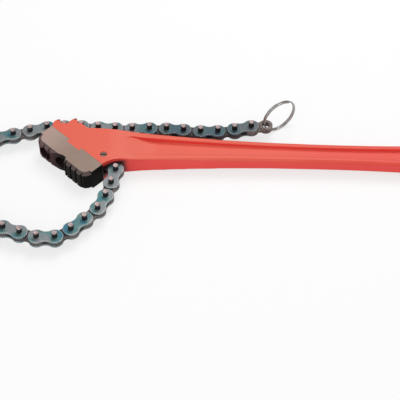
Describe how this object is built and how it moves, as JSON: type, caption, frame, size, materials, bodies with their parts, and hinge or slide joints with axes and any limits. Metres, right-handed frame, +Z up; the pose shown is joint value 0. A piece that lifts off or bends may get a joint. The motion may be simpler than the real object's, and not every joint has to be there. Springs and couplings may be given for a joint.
{
  "type": "chain wrench",
  "caption": "Chain wrench with a forged I-section handle, a toothed jaw and a hooked long-pin chain that loops round a pipe and ends in a tail with a key ring.",
  "frame": {"origin": "foot of the anchor screw's axis, on the surface the tool lies on", "axes": "+X from the head to the handle's end, +Y across the handle to the side where the chain's tail lies, +Z up from the surface"},
  "size_m": [0.5302, 0.167, 0.0354],
  "materials": {
    "red_paint": "gloss red-orange enamel on a forging",
    "jaw_steel": "forged steel, lightly blackened in the hollows",
    "black_steel": "black oxide",
    "dark_steel": "dark oiled steel",
    "inner_plates": "heat-treated brown to dark grey",
    "outer_plates": "heat-tinted blue-green to grey",
    "pins": "ground ends, dark sides",
    "end_steel": "dull grey-brown steel",
    "ring_steel": "plain grey spring steel"
  },
  "bodies": {
    "frame": {"handle": "red_paint", "jaw": "jaw_steel", "jaw_screws": "black_steel", "chain_screw": "dark_steel"},
    "link_01": {"inner_01": "inner_plates"},
    "link_02": {"outer_02": "outer_plates", "pins_02": "pins"},
    "link_03": {"inner_03": "inner_plates"},
    "link_04": {"outer_04": "outer_plates", "pins_04": "pins"},
    "link_05": {"inner_05": "inner_plates"},
    "link_06": {"outer_06": "outer_plates", "pins_06": "pins"},
    "link_07": {"inner_07": "inner_plates"},
    "link_08": {"outer_08": "outer_plates", "pins_08": "pins"},
    "link_09": {"inner_09": "inner_plates"},
    "link_10": {"outer_10": "outer_plates", "pins_10": "pins"},
    "link_11": {"inner_11": "inner_plates"},
    "link_12": {"outer_12": "outer_plates", "pins_12": "pins"},
    "link_13": {"inner_13": "inner_plates"},
    "link_14": {"outer_14": "outer_plates", "pins_14": "pins"},
    "link_15": {"inner_15": "inner_plates"},
    "link_16": {"outer_16": "outer_plates", "pins_16": "pins"},
    "link_17": {"inner_17": "inner_plates"},
    "link_18": {"outer_18": "outer_plates", "pins_18": "pins"},
    "link_19": {"inner_19": "inner_plates"},
    "link_20": {"outer_20": "outer_plates", "pins_20": "pins"},
    "link_21": {"inner_21": "inner_plates"},
    "link_22": {"outer_22": "outer_plates", "pins_22": "pins"},
    "link_23": {"inner_23": "inner_plates"},
    "link_24": {"outer_24": "outer_plates", "pins_24": "pins"},
    "link_25": {"inner_25": "inner_plates"},
    "link_26": {"outer_26": "outer_plates", "pins_26": "pins"},
    "link_27": {"inner_27": "inner_plates"},
    "link_28": {"outer_28": "outer_plates", "pins_28": "pins"},
    "link_29": {"inner_29": "inner_plates"},
    "link_30": {"outer_30": "outer_plates", "pins_30": "pins"},
    "link_31": {"inner_31": "inner_plates"},
    "link_32": {"outer_32": "outer_plates", "pins_32": "pins"},
    "link_33": {"inner_33": "inner_plates"},
    "link_34": {"outer_34": "outer_plates", "pins_34": "pins"},
    "end_link": {"end_link": "end_steel"},
    "ring": {"ring": "ring_steel"}
  },
  "joints": [
    {"name": "chain_01", "type": "hinge", "parent": "frame", "child": "link_01", "pos_m": [0, 0, 0.011], "axis": [0, 0, 1], "range_deg": [-8, 0]},
    {"name": "chain_02", "type": "hinge", "parent": "link_01", "child": "link_02", "pos_m": [0.01161, -0.01083, 0.011], "axis": [0, 0, 1], "range_deg": [-8, 0]},
    {"name": "chain_03", "type": "hinge", "parent": "link_02", "child": "link_03", "pos_m": [0.00885, -0.02646, 0.011], "axis": [0, 0, 1], "range_deg": [-8, 0]},
    {"name": "chain_04", "type": "hinge", "parent": "link_03", "child": "link_04", "pos_m": [0.00528, -0.04193, 0.011], "axis": [0, 0, 1], "range_deg": [-8, 0]},
    {"name": "chain_05", "type": "hinge", "parent": "link_04", "child": "link_05", "pos_m": [-0.00041, -0.05675, 0.011], "axis": [0, 0, 1], "range_deg": [-8, 0]},
    {"name": "chain_06", "type": "hinge", "parent": "link_05", "child": "link_06", "pos_m": [-0.01061, -0.06891, 0.011], "axis": [0, 0, 1], "range_deg": [-8, 0]},
    {"name": "chain_07", "type": "hinge", "parent": "link_06", "child": "link_07", "pos_m": [-0.02123, -0.08071, 0.011], "axis": [0, 0, 1], "range_deg": [-8, 0]},
    {"name": "chain_08", "type": "hinge", "parent": "link_07", "child": "link_08", "pos_m": [-0.03424, -0.08981, 0.011], "axis": [0, 0, 1], "range_deg": [-8, 0]},
    {"name": "chain_09", "type": "hinge", "parent": "link_08", "child": "link_09", "pos_m": [-0.0501, -0.09037, 0.011], "axis": [0, 0, 1], "range_deg": [-8, 0]},
    {"name": "chain_10", "type": "hinge", "parent": "link_09", "child": "link_10", "pos_m": [-0.06536, -0.08599, 0.011], "axis": [0, 0, 1], "range_deg": [-8, 0]},
    {"name": "chain_11", "type": "hinge", "parent": "link_10", "child": "link_11", "pos_m": [-0.08046, -0.08109, 0.011], "axis": [0, 0, 1], "range_deg": [0, 8]},
    {"name": "chain_12", "type": "hinge", "parent": "link_11", "child": "link_12", "pos_m": [-0.095, -0.0747, 0.011], "axis": [0, 0, 1], "range_deg": [0, 8]},
    {"name": "chain_13", "type": "hinge", "parent": "link_12", "child": "link_13", "pos_m": [-0.10854, -0.06643, 0.011], "axis": [0, 0, 1], "range_deg": [0, 8]},
    {"name": "chain_14", "type": "hinge", "parent": "link_13", "child": "link_14", "pos_m": [-0.12024, -0.0557, 0.011], "axis": [0, 0, 1], "range_deg": [0, 8]},
    {"name": "chain_15", "type": "hinge", "parent": "link_14", "child": "link_15", "pos_m": [-0.12882, -0.04234, 0.011], "axis": [0, 0, 1], "range_deg": [0, 8]},
    {"name": "chain_16", "type": "hinge", "parent": "link_15", "child": "link_16", "pos_m": [-0.13292, -0.027, 0.011], "axis": [0, 0, 1], "range_deg": [0, 8]},
    {"name": "chain_17", "type": "hinge", "parent": "link_16", "child": "link_17", "pos_m": [-0.13176, -0.01117, 0.011], "axis": [0, 0, 1], "range_deg": [0, 8]},
    {"name": "chain_18", "type": "hinge", "parent": "link_17", "child": "link_18", "pos_m": [-0.12549, 0.00341, 0.011], "axis": [0, 0, 1], "range_deg": [0, 18]},
    {"name": "chain_19", "type": "hinge", "parent": "link_18", "child": "link_19", "pos_m": [-0.11508, 0.0154, 0.011], "axis": [0, 0, 1], "range_deg": [0, 18]},
    {"name": "chain_20", "type": "hinge", "parent": "link_19", "child": "link_20", "pos_m": [-0.10176, 0.02404, 0.011], "axis": [0, 0, 1], "range_deg": [0, 18]},
    {"name": "chain_21", "type": "hinge", "parent": "link_20", "child": "link_21", "pos_m": [-0.08666, 0.02894, 0.011], "axis": [0, 0, 1], "range_deg": [0, 18]},
    {"name": "chain_22", "type": "hinge", "parent": "link_21", "child": "link_22", "pos_m": [-0.07156, 0.03385, 0.011], "axis": [0, 0, 1], "range_deg": [0, 18]},
    {"name": "chain_23", "type": "hinge", "parent": "link_22", "child": "link_23", "pos_m": [-0.05647, 0.03875, 0.011], "axis": [0, 0, 1], "range_deg": [0, 20]},
    {"name": "chain_24", "type": "hinge", "parent": "link_23", "child": "link_24", "pos_m": [-0.04069, 0.04055, 0.011], "axis": [0, 0, 1], "range_deg": [0, 20]},
    {"name": "chain_25", "type": "hinge", "parent": "link_24", "child": "link_25", "pos_m": [-0.02483, 0.04124, 0.011], "axis": [0, 0, 1], "range_deg": [0, 20]},
    {"name": "chain_26", "type": "hinge", "parent": "link_25", "child": "link_26", "pos_m": [-0.00898, 0.04041, 0.011], "axis": [0, 0, 1], "range_deg": [0, 20]},
    {"name": "chain_27", "type": "hinge", "parent": "link_26", "child": "link_27", "pos_m": [0.00689, 0.03986, 0.011], "axis": [0, 0, 1], "range_deg": [0, 20]},
    {"name": "chain_28", "type": "hinge", "parent": "link_27", "child": "link_28", "pos_m": [0.02276, 0.03958, 0.011], "axis": [0, 0, 1], "range_deg": [0, 20]},
    {"name": "chain_29", "type": "hinge", "parent": "link_28", "child": "link_29", "pos_m": [0.03857, 0.04096, 0.011], "axis": [0, 0, 1], "range_deg": [0, 20]},
    {"name": "chain_30", "type": "hinge", "parent": "link_29", "child": "link_30", "pos_m": [0.05445, 0.04124, 0.011], "axis": [0, 0, 1], "range_deg": [0, 20]},
    {"name": "chain_31", "type": "hinge", "parent": "link_30", "child": "link_31", "pos_m": [0.0703, 0.04041, 0.011], "axis": [0, 0, 1], "range_deg": [0, 20]},
    {"name": "chain_32", "type": "hinge", "parent": "link_31", "child": "link_32", "pos_m": [0.08613, 0.0393, 0.011], "axis": [0, 0, 1], "range_deg": [0, 20]},
    {"name": "chain_33", "type": "hinge", "parent": "link_32", "child": "link_33", "pos_m": [0.10199, 0.04013, 0.011], "axis": [0, 0, 1], "range_deg": [-2, 20]},
    {"name": "chain_34", "type": "hinge", "parent": "link_33", "child": "link_34", "pos_m": [0.11757, 0.04316, 0.011], "axis": [0, 0, 1], "range_deg": [-4, 20]},
    {"name": "end_link_turn", "type": "hinge", "parent": "link_34", "child": "end_link", "pos_m": [0.13283, 0.04754, 0.011], "axis": [0, 0, 1], "range_deg": [-8, 25]},
    {"name": "ring_swing", "type": "hinge", "parent": "end_link", "child": "ring", "pos_m": [0.14632, 0.04992, 0.011], "axis": [0, 0, 1], "range_deg": [-40, 40]}
  ],
  "couplings": [
    {"joint": "chain_01", "follows": "chain_18", "ratio": -0.35},
    {"joint": "chain_02", "follows": "chain_19", "ratio": -0.35},
    {"joint": "chain_03", "follows": "chain_20", "ratio": -0.35},
    {"joint": "chain_04", "follows": "chain_21", "ratio": -0.35},
    {"joint": "chain_05", "follows": "chain_22", "ratio": -0.35},
    {"joint": "chain_06", "follows": "chain_18", "ratio": -0.35},
    {"joint": "chain_07", "follows": "chain_19", "ratio": -0.35},
    {"joint": "chain_08", "follows": "chain_20", "ratio": -0.35},
    {"joint": "chain_09", "follows": "chain_21", "ratio": -0.35},
    {"joint": "chain_10", "follows": "chain_22", "ratio": -0.35},
    {"joint": "chain_11", "follows": "chain_18", "ratio": 0.35},
    {"joint": "chain_12", "follows": "chain_19", "ratio": 0.35},
    {"joint": "chain_13", "follows": "chain_20", "ratio": 0.35},
    {"joint": "chain_14", "follows": "chain_21", "ratio": 0.35},
    {"joint": "chain_15", "follows": "chain_22", "ratio": 0.35},
    {"joint": "chain_16", "follows": "chain_18", "ratio": 0.35},
    {"joint": "chain_17", "follows": "chain_19", "ratio": 0.35}
  ]
}
